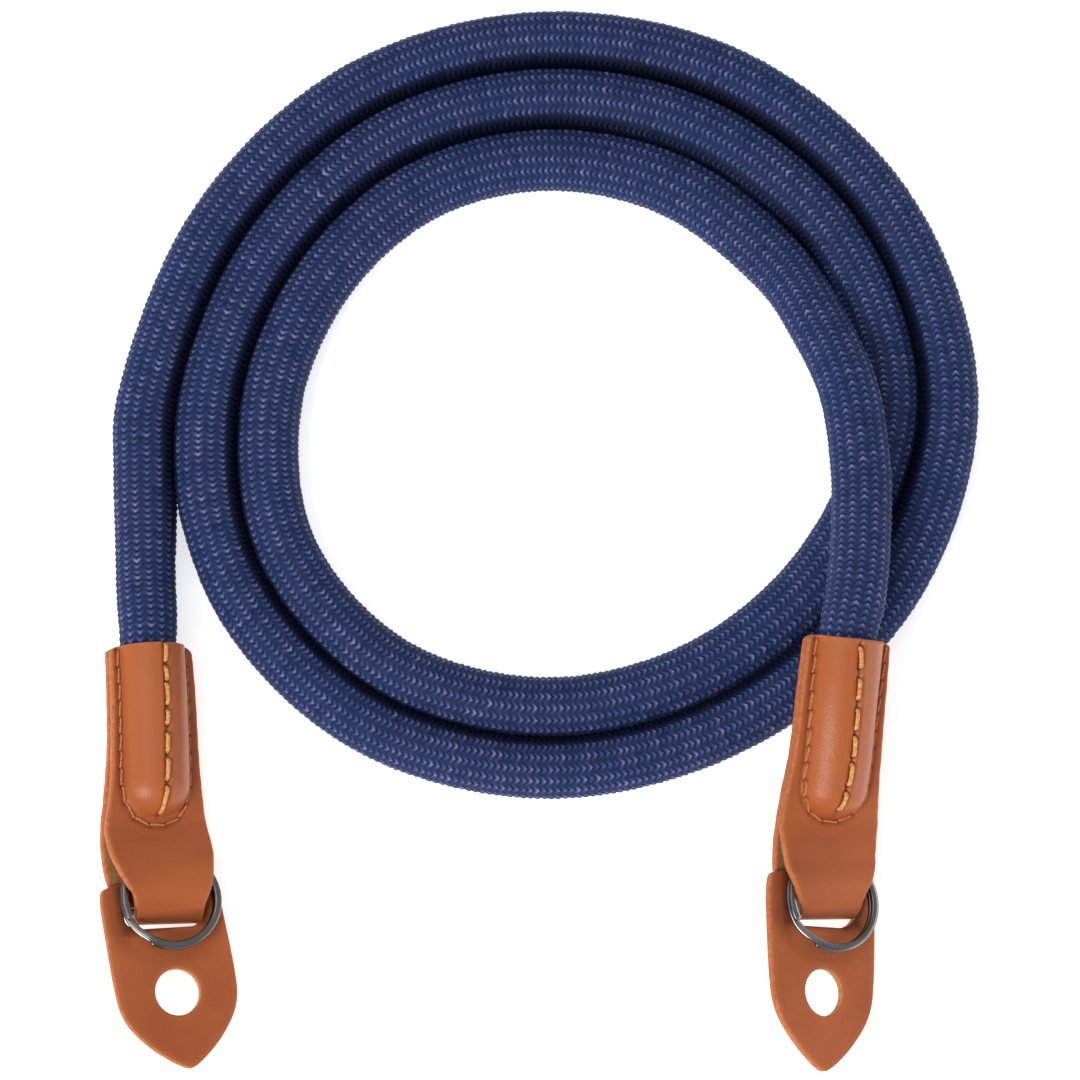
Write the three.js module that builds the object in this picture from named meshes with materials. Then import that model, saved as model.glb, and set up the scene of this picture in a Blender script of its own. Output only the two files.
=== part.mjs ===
// Rope camera strap: a 10 mm braided rope laid in a coil of two and a half turns,
// with a leather tab, a split ring and a leather protector pad on each end.
// Millimetres, +Z up. The strap lies on z = 0, +Y points from the pads to the coil.
// Seven solids: rope, left_tab, left_ring, left_pad, right_tab, right_ring, right_pad.
import * as THREE from "three";
import { mergeVertices } from "three/addons/utils/BufferGeometryUtils.js";

// ---- driving sizes ---------------------------------------------------------
const ROPE_D = 9.7; // braided rope over its cover
const ROPE_SIDES = 12; // sides of the rope's section, flats down and sideways
const ROPE_FLATS = 9.3; // across those flats
const ROPE_STEPS = 122;
const ROPE_IN_TAB = 0.84; // share of its width the rope is pinched to in a tab
const PINCH = 14; // length over which it narrows before the mouth
const LEATHER = 1.4; // thickness of the tab strip
const POCKET_OUT = 6.1; // outer radius of the leather over the rope
const POCKET_IN = POCKET_OUT - LEATHER;
const POCKET_END = 21.5; // the pocket starts to close this far above the fold
const POCKET_CAP = 5.5; // and is closed this much nearer to it
const SEAM_GAP = 0.1; // half the gap between the two layers at the stitches
const PAD_T = 1.5; // thickness of the protector pad
const PAD_W = 20.2;
const HOLE_D = 7.4; // round hole in the pad
const SLIT_W = 12.8; // slit that the strip passes through
const SLIT_H = 3.9;
const SLIT_CORNER = { high: 0.6, low: 2.2 };
const SLIT_FROM_TOP = 2.3; // width of the bar above the slit
const HOLE_FROM_TOP = 16.6;
const RING_OD = 16.5; // split ring
const RING_RADIAL = 1.25; // width of its wire across the ring
const RING_WIRE = 0.74; // and along its axis
const RING_PITCH = 0.9; // from one winding to the next
const SHIFT = { x: 7.13, y: 51.44, z: 0.06 }; // puts the origin under the middle of the fittings

// ---- the rope's route ------------------------------------------------------
// One row for each twelfth of a turn round the coil's centre; the radius of the
// outer, middle and inner turn there. The rope runs clockwise through the outer
// column, then the middle one, then the inner one.
const COIL = { x: 0.8, y: 22.8, z: 4.8 };
const TURNS = [
  // degrees, outer, middle, inner
  { at: 180, outer: 64.7, middle: 54.3, inner: 44.2 },
  { at: 150, outer: 61.1, middle: 51.1, inner: 41.3 },
  { at: 120, outer: 60.6, middle: 50.6, inner: 40.5 },
  { at: 90, outer: 61.0, middle: 50.8, inner: 40.4 },
  { at: 60, outer: 62.7, middle: 52.3, inner: 41.6 },
  { at: 30, outer: 64.4, middle: 54.4, inner: 44.2 },
  { at: 0, outer: 65.5, middle: 55.6, inner: null },
  { at: -30, outer: 63.6, middle: 52.5, inner: null },
  { at: -60, outer: 60.7, middle: 50.6, inner: null },
  { at: -90, outer: 60.0, middle: 50.1, inner: null },
  { at: -120, outer: 59.8, middle: 49.9, inner: null },
  { at: -150, outer: 58.3, middle: 48.1, inner: null },
];
// The left end before the coil, and the right end climbing over the two turns below it.
const LEAD_IN = [
  { x: -62.95, y: -14.0, z: 5.7 },
  { x: -63.4, y: -8.0, z: 4.95 },
  { x: -63.75, y: 0.5, z: 4.8 },
  { x: -64.2, y: 11.0, z: 4.8 },
];
const LEAD_OUT = [
  { x: 44.85, y: 34.9, z: 9.0 },
  { x: 49.6, y: 22.8, z: 12.6 },
  { x: 51.3, y: 8.2, z: 14.3 },
  { x: 51.2, y: 1.6, z: 14.8 },
  { x: 50.7, y: -6.0, z: 15.5 },
  { x: 49.9, y: -12.0, z: 16.2 },
];

// ---- the leather strip of a tab -------------------------------------------
// One strip: down the front from the mouth, round the fold, and up the back.
// along: distance above the fold; off: its middle above (front) or below (back)
// the tab's middle surface; wide: its width there.
const STRIP = [
  { along: 43.6, off: 0.8, wide: 14.0 },
  { along: 36, off: 0.8, wide: 14.4 },
  { along: 29, off: 0.8, wide: 14.7 },
  { along: 24, off: 0.8, wide: 15.1 },
  { along: 20.6, off: 0.8, wide: 15.6 },
  { along: 18, off: 0.8, wide: 16.0 },
  { along: 15.4, off: 0.85, wide: 16.5 },
  { along: 13.5, off: 1.7, wide: 16.8 },
  { along: 11.6, off: 2.95, wide: 16.7 },
  { along: 9, off: 3.75, wide: 16.0 },
  { along: 6.8, off: 4.2, wide: 14.6 },
  { along: 5.4, off: 4.1, wide: 13.4 },
  { along: 4.2, off: 3.5, wide: 12.2 },
  { along: 3.0, off: 2.65, wide: 11.2 },
  { along: 1.6, off: 1.8, wide: 10.6 },
  { along: 0.9, off: 0.85, wide: 10.4 },
  { along: 0.7, off: 0, wide: 10.4 },
  { along: 0.95, off: -0.9, wide: 10.4 },
  { along: 1.8, off: -1.7, wide: 10.7 },
  { along: 3.0, off: -1.95, wide: 11.6 },
  { along: 4.2, off: -1.95, wide: 13.0 },
  { along: 5.5, off: -1.75, wide: 14.8 },
  { along: 7, off: -1.4, wide: 16.0 },
  { along: 9, off: -1.05, wide: 16.6 },
  { along: 12, off: -0.87, wide: 16.8 },
  { along: 15.4, off: -0.8, wide: 16.5 },
  { along: 18, off: -0.8, wide: 16.0 },
  { along: 20.6, off: -0.8, wide: 15.6 },
  { along: 24, off: -0.8, wide: 15.1 },
  { along: 29, off: -0.8, wide: 14.7 },
  { along: 36, off: -0.8, wide: 14.4 },
  { along: 43.6, off: -0.8, wide: 14.0 },
];
// Where the strip is sampled across: shares of the pocket's half width, then the edge.
const ACROSS = [0, 0.2, 0.42, 0.64, 0.82, 0.94, 1.0, 1.12];

// ---- how each end lies ----------------------------------------------------
// axis: the tab's middle line from the fold to the mouth, with the roll of the
// leather about it (left edge up). pad and ring: how far above the fold, to the side
// and over the middle surface each sits, and its turns from the leather there.
const ENDS = {
  left: {
    axis: [
      { along: 0, x: -59.1, y: -61.3, z: 4.55, roll: 20 },
      { along: 2.7, x: -59.38, y: -58.6, z: 4.75, roll: 20.5 },
      { along: 5.3, x: -59.75, y: -56.05, z: 4.9, roll: 21.5 },
      { along: 9.2, x: -60.7, y: -52.25, z: 5.2, roll: 23.5 },
      { along: 14.3, x: -61.3, y: -47.18, z: 5.6, roll: 25.5 },
      { along: 19.1, x: -61.5, y: -42.42, z: 6.0, roll: 26.5 },
      { along: 25.5, x: -61.75, y: -36.01, z: 6.1, roll: 26.6 },
      { along: 35.2, x: -62.2, y: -26.32, z: 6.1, roll: 26.6 },
      { along: 44.2, x: -62.85, y: -17.4, z: 6.1, roll: 26.6 },
    ],
    pad: { along: 3.5, across: -0.85, lift: 0.15, yaw: -0.3, tip: 4, roll: 0, long: 28.5 },
    ring: { along: 3.0, across: 0.1, lift: 2.35, yaw: -6, tip: 9.8, roll: 0.2 },
  },
  right: {
    axis: [
      { along: 0, x: 45.22, y: -61.53, z: 6.9, roll: 31 },
      { along: 2.7, x: 45.03, y: -58.85, z: 7.05, roll: 30 },
      { along: 5.2, x: 44.82, y: -56.32, z: 7.2, roll: 29 },
      { along: 9.0, x: 44.65, y: -52.55, z: 7.6, roll: 29 },
      { along: 14.1, x: 45.1, y: -47.61, z: 8.9, roll: 26.5 },
      { along: 19.0, x: 45.65, y: -43.01, z: 10.3, roll: 23.5 },
      { along: 25.4, x: 46.6, y: -36.89, z: 12.3, roll: 21 },
      { along: 35.0, x: 47.5, y: -27.71, z: 15.0, roll: 20 },
      { along: 44.6, x: 48.5, y: -18.37, z: 16.5, roll: 20 },
    ],
    pad: { along: 3.6, across: -0.7, lift: 0.15, yaw: -3.4, tip: 0.9, roll: 2, long: 28.5 },
    ring: { along: 2.7, across: -0.1, lift: 2.5, yaw: -4.7, tip: 6.5, roll: -1.6 },
  },
};
// Outline of a pad, half of it: share of its length from the top edge, and half width.
const PAD_EDGE = [
  { down: 0, half: 8.3 },
  { down: 0.012, half: 9.2 },
  { down: 0.05, half: 9.6 },
  { down: 0.3, half: 9.95 },
  { down: 0.55, half: 10.0 },
  { down: 0.64, half: 9.6 },
  { down: 0.72, half: 8.6 },
  { down: 0.8, half: 7.0 },
  { down: 0.88, half: 4.9 },
  { down: 0.95, half: 2.6 },
  { down: 0.985, half: 1.2 },
  { down: 1, half: 0.35 },
];

// ---- helpers ---------------------------------------------------------------
const rad = THREE.MathUtils.degToRad;

// The value of a column between the rows of a table, on a smooth curve.
function between(rows, key, by, t) {
  let i = 0;
  while (i < rows.length - 2 && t > rows[i + 1][by]) i++;
  const a = rows[i],
    b = rows[i + 1],
    h = b[by] - a[by];
  const slope = (j) => {
    const p = rows[Math.max(0, j - 1)],
      q = rows[Math.min(rows.length - 1, j + 1)];
    return (q[key] - p[key]) / (q[by] - p[by]);
  };
  const u = (t - a[by]) / h,
    m0 = slope(i) * h,
    m1 = slope(i + 1) * h;
  if (u < 0) return a[key] + slope(0) * (t - a[by]);
  if (u > 1) return b[key] + slope(rows.length - 1) * (t - b[by]);
  return (
    (2 * u ** 3 - 3 * u ** 2 + 1) * a[key] +
    (u ** 3 - 2 * u ** 2 + u) * m0 +
    (-2 * u ** 3 + 3 * u ** 2) * b[key] +
    (u ** 3 - u ** 2) * m1
  );
}

// The larger of two values with a small fillet between them.
const fillet = (a, b, k) => (a + b + Math.sqrt((a - b) ** 2 + k * k)) / 2;

// A grid of points, closed into a tube round one way and capped at both ends.
function skin(rings) {
  const n = rings[0].length,
    position = rings.flat().flatMap((p) => [p.x, p.y, p.z]),
    index = [];
  for (let i = 0; i < rings.length - 1; i++)
    for (let j = 0; j < n; j++) {
      const a = i * n + j,
        b = i * n + ((j + 1) % n);
      index.push(a, a + n, b, b, a + n, b + n);
    }
  const cap = (base, flip) => {
    // a strip's section: pair the points of its two faces
    for (let j = 0; j < n / 2 - 1; j++) {
      const a = base + j,
        b = base + j + 1,
        c = base + n - 2 - j,
        d = base + n - 1 - j;
      const quads = [
        [a, b, c],
        [a, c, d],
      ];
      for (const [p, q, r] of quads) index.push(...(flip ? [p, r, q] : [p, q, r]));
    }
  };
  cap(0, false);
  cap((rings.length - 1) * n, true);
  const g = new THREE.BufferGeometry();
  g.setAttribute("position", new THREE.Float32BufferAttribute(position, 3));
  g.setIndex(index);
  const tetra = (p, q, r) => p.dot(q.clone().cross(r));
  let volume = 0;
  const flat = rings.flat();
  for (let i = 0; i < index.length; i += 3)
    volume += tetra(flat[index[i]], flat[index[i + 1]], flat[index[i + 2]]);
  if (volume < 0)
    for (let i = 0; i < index.length; i += 3)
      [index[i + 1], index[i + 2]] = [index[i + 2], index[i + 1]];
  g.setIndex(index);
  g.computeVertexNormals();
  return g;
}

// The tab's middle surface at one distance above the fold.
function tabFrame(end, along) {
  const point = (t) =>
    new THREE.Vector3(...["x", "y", "z"].map((key) => between(end.axis, key, "along", t)));
  const centre = point(along);
  const up = point(along + 0.5).sub(point(along - 0.5)).normalize();
  const level = new THREE.Vector3(0, 0, 1);
  const side = up.clone().cross(level).normalize();
  const normal = side.clone().cross(up);
  const roll = rad(between(end.axis, "roll", "along", along));
  return {
    centre,
    up,
    side: side.clone().multiplyScalar(Math.cos(roll)).addScaledVector(normal, -Math.sin(roll)),
    normal: normal.clone().multiplyScalar(Math.cos(roll)).addScaledVector(side, Math.sin(roll)),
  };
}

// Where a pad or a ring sits in the fold of its tab.
function held(end, p) {
  const f = tabFrame(end, p.along);
  const place = new THREE.Matrix4().makeBasis(f.side, f.up, f.normal);
  place.setPosition(f.centre.addScaledVector(f.side, p.across).addScaledVector(f.normal, p.lift));
  const turn = new THREE.Euler(rad(-p.tip), rad(p.roll), rad(p.yaw), "ZXY");
  return place.multiply(new THREE.Matrix4().makeRotationFromEuler(turn));
}

// ---- rope -------------------------------------------------------------------
function ropePath() {
  const points = [];
  for (const along of [20.6, 27, 34, 40.5, 44.2])
    points.push(tabFrame(ENDS.left, along).centre);
  for (const p of LEAD_IN) points.push(new THREE.Vector3(p.x, p.y, p.z));
  for (const turn of ["outer", "middle", "inner"])
    for (const row of TURNS)
      if (row[turn] !== null)
        points.push(
          new THREE.Vector3(
            COIL.x + row[turn] * Math.cos(rad(row.at)),
            COIL.y + row[turn] * Math.sin(rad(row.at)),
            turn === "inner" && row.at === 30 ? COIL.z + 0.7 : COIL.z,
          ),
        );
  for (const p of LEAD_OUT) points.push(new THREE.Vector3(p.x, p.y, p.z));
  for (const along of [44.6, 40.5, 34, 27, 20.6])
    points.push(tabFrame(ENDS.right, along).centre);
  return new THREE.CatmullRomCurve3(points, false, "centripetal");
}

function rope() {
  const path = ropePath();
  path.arcLengthDivisions = 3000;
  const outer = ROPE_FLATS / 2 / Math.cos(Math.PI / ROPE_SIDES);
  const section = new THREE.Shape();
  for (let i = 0; i < ROPE_SIDES; i++) {
    const a = ((i + 0.5) / ROPE_SIDES) * 2 * Math.PI;
    section[i ? "lineTo" : "moveTo"](outer * Math.cos(a), outer * Math.sin(a));
  }
  section.closePath();
  const g = new THREE.ExtrudeGeometry(section, {
    steps: ROPE_STEPS,
    extrudePath: path,
    bevelEnabled: false,
  });
  // Both ends are pinched a little where the tabs hold them.
  const length = path.getLength();
  const stations = path.getSpacedPoints(ROPE_STEPS);
  const pinched = 26; // length of rope in the tab and just outside it
  const at = g.attributes.position,
    v = new THREE.Vector3();
  for (let i = 0; i < at.count; i++) {
    v.fromBufferAttribute(at, i);
    let best = 0,
      near = Infinity;
    for (let s = 0; s <= ROPE_STEPS; s++) {
      const d = v.distanceToSquared(stations[s]);
      if (d < near) [near, best] = [d, s];
    }
    const s = (best / ROPE_STEPS) * length,
      end = Math.min(s, length - s);
    const free = THREE.MathUtils.clamp((end - pinched) / PINCH, 0, 1);
    const share = ROPE_IN_TAB + (1 - ROPE_IN_TAB) * free;
    v.sub(stations[best]).multiplyScalar(share).add(stations[best]);
    at.setXYZ(i, v.x, v.y, v.z);
  }
  g.computeVertexNormals();
  return g;
}

// ---- leather tab ------------------------------------------------------------
// Half width of the pocket round the rope's end, 0 past its closed end.
function pocket(radius, along) {
  if (along >= POCKET_END) return radius;
  const u = (POCKET_END - along) / POCKET_CAP;
  return u >= 1 ? 0 : radius * Math.sqrt(1 - u * u);
}

function tab(end) {
  const rings = [];
  const run = [0];
  for (let i = 1; i < STRIP.length; i++)
    run.push(
      run[i - 1] +
        Math.hypot(STRIP[i].along - STRIP[i - 1].along, STRIP[i].off - STRIP[i - 1].off),
    );
  STRIP.forEach((row, i) => {
    const p = STRIP[Math.max(0, i - 1)],
      q = STRIP[Math.min(STRIP.length - 1, i + 1)];
    const l = Math.hypot(q.along - p.along, q.off - p.off);
    // the strip's own normal in the plane of along and off, on its grain side
    const nAlong = (q.off - p.off) / l,
      nOff = -(q.along - p.along) / l;
    const foot = Math.max(pocket(5.45, row.along), 2.8);
    const half = row.wide / 2;
    const us = [];
    for (const share of ACROSS) us.push(Math.min(share * foot, half * (share > 1 ? 0.95 : 0.9)));
    us.push(half);
    const line = [...us.slice(1).reverse().map((u) => -u), ...us];
    const face = (outer) =>
      line.map((u) => {
        const radius = pocket(outer ? POCKET_OUT : POCKET_IN, row.along);
        const flat = outer ? SEAM_GAP + LEATHER : SEAM_GAP;
        const round = Math.sqrt(Math.max(radius * radius - u * u, 0));
        const soft = outer ? 0.5 : 0.2;
        const bulge = radius > flat ? fillet(flat, round, soft) - fillet(flat, 0, soft) : 0;
        const out = (outer ? LEATHER / 2 : -LEATHER / 2) + bulge;
        const along = row.along + out * nAlong,
          off = row.off + out * nOff;
        const f = tabFrame(end, along);
        return f.centre.addScaledVector(f.side, u).addScaledVector(f.normal, off);
      });
    rings.push([...face(true), ...face(false).reverse()]);
  });
  return skin(rings);
}

// ---- protector pad ----------------------------------------------------------
function pad(end) {
  const { long } = end.pad;
  const bar = SLIT_FROM_TOP / 2; // the part's own origin is in the middle of its bar
  const s = new THREE.Shape();
  const right = PAD_EDGE.map((r) => [(r.half * PAD_W) / 20.2, bar - r.down * long]);
  const left = right.map(([x, y]) => [-x, y]).reverse();
  [...right, ...left].forEach(([x, y], i) => s[i ? "lineTo" : "moveTo"](x, y));
  s.closePath();
  const { high, low } = SLIT_CORNER,
    x = SLIT_W / 2,
    y = bar - SLIT_FROM_TOP;
  const slit = new THREE.Path();
  slit.absarc(x - low, y - SLIT_H + low, low, -Math.PI / 2, 0, false);
  slit.absarc(x - high, y - high, high, 0, Math.PI / 2, false);
  slit.absarc(-x + high, y - high, high, Math.PI / 2, Math.PI, false);
  slit.absarc(-x + low, y - SLIT_H + low, low, Math.PI, (3 * Math.PI) / 2, false);
  slit.closePath();
  const hole = new THREE.Path();
  hole.absarc(0, bar - HOLE_FROM_TOP, HOLE_D / 2, 0, 2 * Math.PI, false);
  s.holes.push(slit, hole);
  const g = new THREE.ExtrudeGeometry(s, { depth: PAD_T, bevelEnabled: false, curveSegments: 8 });
  g.translate(0, 0, -PAD_T / 2);
  return g;
}

// ---- split ring -------------------------------------------------------------
// Two windings of flat wire; each end lies where the other winding steps across.
function ring() {
  const r = (RING_OD - RING_RADIAL) / 2;
  const from = 243,
    to = 568,
    up = 603,
    last = 927;
  const height = (deg) => {
    const t = THREE.MathUtils.clamp((deg - to) / (up - to), 0, 1);
    return RING_PITCH * (t * t * (3 - 2 * t) - 0.5);
  };
  const rings = [];
  const steps = 52;
  for (let i = 0; i <= steps; i++) {
    const deg = from + ((last - from) * i) / steps,
      a = rad(deg),
      h = height(deg);
    const out = new THREE.Vector3(Math.cos(a), Math.sin(a), 0);
    const w = RING_RADIAL / 2,
      t = RING_WIRE / 2;
    rings.push(
      [
        [w, t],
        [-w, t],
        [-w, -t],
        [w, -t],
      ].map(([x, z]) => out.clone().multiplyScalar(r + x).setZ(h + z)),
    );
  }
  return skin(rings);
}

// ---- assembly ----------------------------------------------------------------
const nylon = new THREE.MeshStandardMaterial({ color: 0x28376e, roughness: 0.62, metalness: 0 });
const leather = new THREE.MeshStandardMaterial({ color: 0xa85d38, roughness: 0.5, metalness: 0 });
const steel = new THREE.MeshStandardMaterial({ color: 0x5b5b60, roughness: 0.28, metalness: 1 });

const strap = new THREE.Group();
strap.name = "rope_camera_strap";
const laid = new THREE.Group();
laid.position.set(SHIFT.x, SHIFT.y, SHIFT.z);
strap.add(laid);

function closed(geometry) {
  const g = geometry.index ? geometry : geometry.clone();
  g.deleteAttribute("normal");
  g.deleteAttribute("uv");
  const merged = mergeVertices(g, 1e-3);
  merged.computeVertexNormals();
  return merged;
}

function add(name, geometry, material, place) {
  const mesh = new THREE.Mesh(closed(geometry), material);
  mesh.name = name;
  if (place) place.decompose(mesh.position, mesh.quaternion, mesh.scale);
  laid.add(mesh);
}

add("rope", rope(), nylon);
for (const [side, end] of Object.entries(ENDS)) {
  add(side + "_tab", tab(end), leather);
  add(side + "_pad", pad(end), leather, held(end, end.pad));
  add(side + "_ring", ring(), steel, held(end, end.ring));
}

export default strap;
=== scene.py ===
# Rope camera strap: the looks of the braided rope, the leather tabs and pads,
# the split rings and the stitching, on the frame made by the CAD model.
# Tables are in millimetres, as in the CAD; MM turns them into metres.
import math

import bpy
import numpy as np
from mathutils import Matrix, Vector
from mathutils.geometry import delaunay_2d_cdt


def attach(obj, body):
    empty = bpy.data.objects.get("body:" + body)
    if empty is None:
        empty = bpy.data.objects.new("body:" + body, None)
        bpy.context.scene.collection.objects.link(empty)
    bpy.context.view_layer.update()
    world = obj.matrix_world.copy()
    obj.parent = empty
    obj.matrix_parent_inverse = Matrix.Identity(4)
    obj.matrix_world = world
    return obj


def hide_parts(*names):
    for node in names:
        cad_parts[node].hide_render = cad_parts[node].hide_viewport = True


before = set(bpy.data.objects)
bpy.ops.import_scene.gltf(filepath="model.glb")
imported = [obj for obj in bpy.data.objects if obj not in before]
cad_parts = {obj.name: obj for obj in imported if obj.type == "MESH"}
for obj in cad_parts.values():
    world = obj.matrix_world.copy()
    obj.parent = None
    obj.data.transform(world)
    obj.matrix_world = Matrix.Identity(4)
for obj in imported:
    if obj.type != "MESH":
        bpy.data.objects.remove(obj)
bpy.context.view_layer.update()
MM = 0.001
SHIFT = np.array([7.13, 51.44, 0.06])

# ---- the route and the tables of the CAD --------------------------------------
COIL = (0.8, 22.8, 4.8)
TURNS = [  # degrees, outer, middle, inner
    (180, 64.7, 54.3, 44.2),
    (150, 61.1, 51.1, 41.3),
    (120, 60.6, 50.6, 40.5),
    (90, 61.0, 50.8, 40.4),
    (60, 62.7, 52.3, 41.6),
    (30, 64.4, 54.4, 44.2),
    (0, 65.5, 55.6, None),
    (-30, 63.6, 52.5, None),
    (-60, 60.7, 50.6, None),
    (-90, 60.0, 50.1, None),
    (-120, 59.8, 49.9, None),
    (-150, 58.3, 48.1, None),
]
LEAD_IN = [(-62.95, -14.0, 5.7), (-63.4, -8.0, 4.95), (-63.75, 0.5, 4.8), (-64.2, 11.0, 4.8)]
LEAD_OUT = [
    (44.85, 34.9, 9.0),
    (49.6, 22.8, 12.6),
    (51.3, 8.2, 14.3),
    (51.2, 1.6, 14.8),
    (50.7, -6.0, 15.5),
    (49.9, -12.0, 16.2),
]
STRIP = np.array(
    [  # along, off, wide
        (43.6, 0.8, 14.0),
        (36, 0.8, 14.4),
        (29, 0.8, 14.7),
        (24, 0.8, 15.1),
        (20.6, 0.8, 15.6),
        (18, 0.8, 16.0),
        (15.4, 0.95, 16.4),
        (13.5, 1.5, 16.6),
        (11.6, 2.35, 16.5),
        (9, 3.3, 16.2),
        (6.8, 3.95, 14.9),
        (5.4, 4.0, 13.5),
        (4.2, 3.5, 12.2),
        (3.0, 2.65, 11.2),
        (1.6, 1.8, 10.6),
        (0.9, 0.85, 10.4),
        (0.7, 0, 10.4),
        (0.95, -0.9, 10.4),
        (1.8, -1.7, 10.7),
        (3.0, -1.95, 11.6),
        (4.2, -1.95, 13.0),
        (5.5, -1.75, 14.8),
        (7, -1.4, 16.0),
        (9, -1.05, 16.6),
        (12, -0.87, 16.8),
        (15.4, -0.8, 16.5),
        (18, -0.8, 16.0),
        (20.6, -0.8, 15.6),
        (24, -0.8, 15.1),
        (29, -0.8, 14.7),
        (36, -0.8, 14.4),
        (43.6, -0.8, 14.0),
    ]
)
AXIS = {
    "left": np.array(
        [  # along, x, y, z, roll
            (0, -59.1, -61.3, 4.55, 20),
            (2.7, -59.38, -58.6, 4.75, 20.5),
            (5.3, -59.75, -56.05, 4.9, 21.5),
            (9.2, -60.7, -52.25, 5.2, 23.5),
            (14.3, -61.3, -47.18, 5.6, 25.5),
            (19.1, -61.5, -42.42, 6.0, 26.5),
            (25.5, -61.75, -36.01, 6.1, 26.6),
            (35.2, -62.2, -26.32, 6.1, 26.6),
            (44.2, -62.85, -17.4, 6.1, 26.6),
        ]
    ),
    "right": np.array(
        [
            (0, 45.22, -61.53, 6.9, 31),
            (2.7, 45.03, -58.85, 7.05, 30),
            (5.2, 44.82, -56.32, 7.2, 29),
            (9.0, 44.65, -52.55, 7.6, 29),
            (14.1, 45.1, -47.61, 8.9, 26.5),
            (19.0, 45.65, -43.01, 10.3, 23.5),
            (25.4, 46.6, -36.89, 12.3, 21),
            (35.0, 47.5, -27.71, 15.0, 20),
            (44.6, 48.5, -18.37, 16.5, 20),
        ]
    ),
}
HELD = {  # along, across, lift, yaw, tip, roll
    ("left", "pad"): (3.61, -1.17, 0.15, 3.1, 4, 0),
    ("left", "ring"): (3.0, 0.1, 2.35, -6, 9.8, 0.2),
    ("right", "pad"): (3.77, -0.74, 0.15, -6.1, 0.9, -1.5),
    ("right", "ring"): (2.7, -0.1, 2.5, -4.7, 6.5, -1.6),
}
# The leather of the pads is soft: each one is twisted a little towards its tip, and
# its top edge and length are those of the real pad, inside the CAD model's box.
PAD_TOP = {"left": 2.6, "right": 3.3}
PAD_LONG = {"left": 30.2, "right": 31.1}
PAD_EDGE = [
    (0, 8.3),
    (0.012, 9.2),
    (0.05, 9.6),
    (0.3, 9.95),
    (0.55, 10.0),
    (0.65, 9.75),
    (0.73, 8.95),
    (0.8, 7.6),
    (0.88, 5.45),
    (0.95, 2.95),
    (0.985, 1.35),
    (1, 0.35),
]
PAD_TWIST = {"left": 2.0, "right": 13.0}  # degrees, from the slit to the tip
LEATHER = 1.4
POCKET_OUT, POCKET_IN = 6.1, 4.7
POCKET_END, POCKET_CAP = 21.5, 5.5
SEAM_GAP = 0.1
EDGE_R = 0.34

# ---- helpers --------------------------------------------------------------------


def between(rows, col, by, t):
    """A column of a table at t, on the smooth curve through its rows."""
    T, V = rows[:, by], rows[:, col]
    t = np.asarray(t, float)
    sign = 1.0 if T[-1] > T[0] else -1.0
    i = np.searchsorted(sign * T[1:-1], sign * t, side="left")
    n = len(T)
    slope = np.array(
        [
            (V[min(n - 1, j + 1)] - V[max(0, j - 1)]) / (T[min(n - 1, j + 1)] - T[max(0, j - 1)])
            for j in range(n)
        ]
    )
    h = T[i + 1] - T[i]
    u = (t - T[i]) / h
    m0, m1 = slope[i] * h, slope[i + 1] * h
    mid = (
        (2 * u**3 - 3 * u**2 + 1) * V[i]
        + (u**3 - 2 * u**2 + u) * m0
        + (-2 * u**3 + 3 * u**2) * V[i + 1]
        + (u**3 - u**2) * m1
    )
    before = V[i] + slope[0] * (t - T[i])
    after = V[i + 1] + slope[-1] * (t - T[i + 1])
    return np.where(u < 0, before, np.where(u > 1, after, mid))


def unit(v):
    return v / np.maximum(np.linalg.norm(v, axis=-1, keepdims=True), 1e-12)


def tab_frame(side, along):
    rows = AXIS[side]

    def point(t):
        return np.stack([between(rows, k, 0, t) for k in (1, 2, 3)], axis=-1)

    along = np.asarray(along, float)
    centre = point(along)
    up = unit(point(along + 0.5) - point(along - 0.5))
    across = unit(np.cross(up, np.array([0.0, 0.0, 1.0])))
    normal = np.cross(across, up)
    roll = np.radians(between(rows, 4, 0, along))[..., None]
    return (
        centre,
        up,
        across * np.cos(roll) - normal * np.sin(roll),
        normal * np.cos(roll) + across * np.sin(roll),
    )


def held(side, what):
    """Place of a pad or ring: origin and 3x3 basis (columns)."""
    along, across, lift, yaw, tip, roll = HELD[(side, what)]
    c, up, s, n = tab_frame(side, along)
    origin = c + s * across + n * lift
    basis = np.stack([s, up, n], axis=1)
    a, b, g = np.radians([-tip, roll, yaw])
    rx = np.array([[1, 0, 0], [0, np.cos(a), -np.sin(a)], [0, np.sin(a), np.cos(a)]])
    ry = np.array([[np.cos(b), 0, np.sin(b)], [0, 1, 0], [-np.sin(b), 0, np.cos(b)]])
    rz = np.array([[np.cos(g), -np.sin(g), 0], [np.sin(g), np.cos(g), 0], [0, 0, 1]])
    return origin, basis @ rz @ rx @ ry


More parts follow.
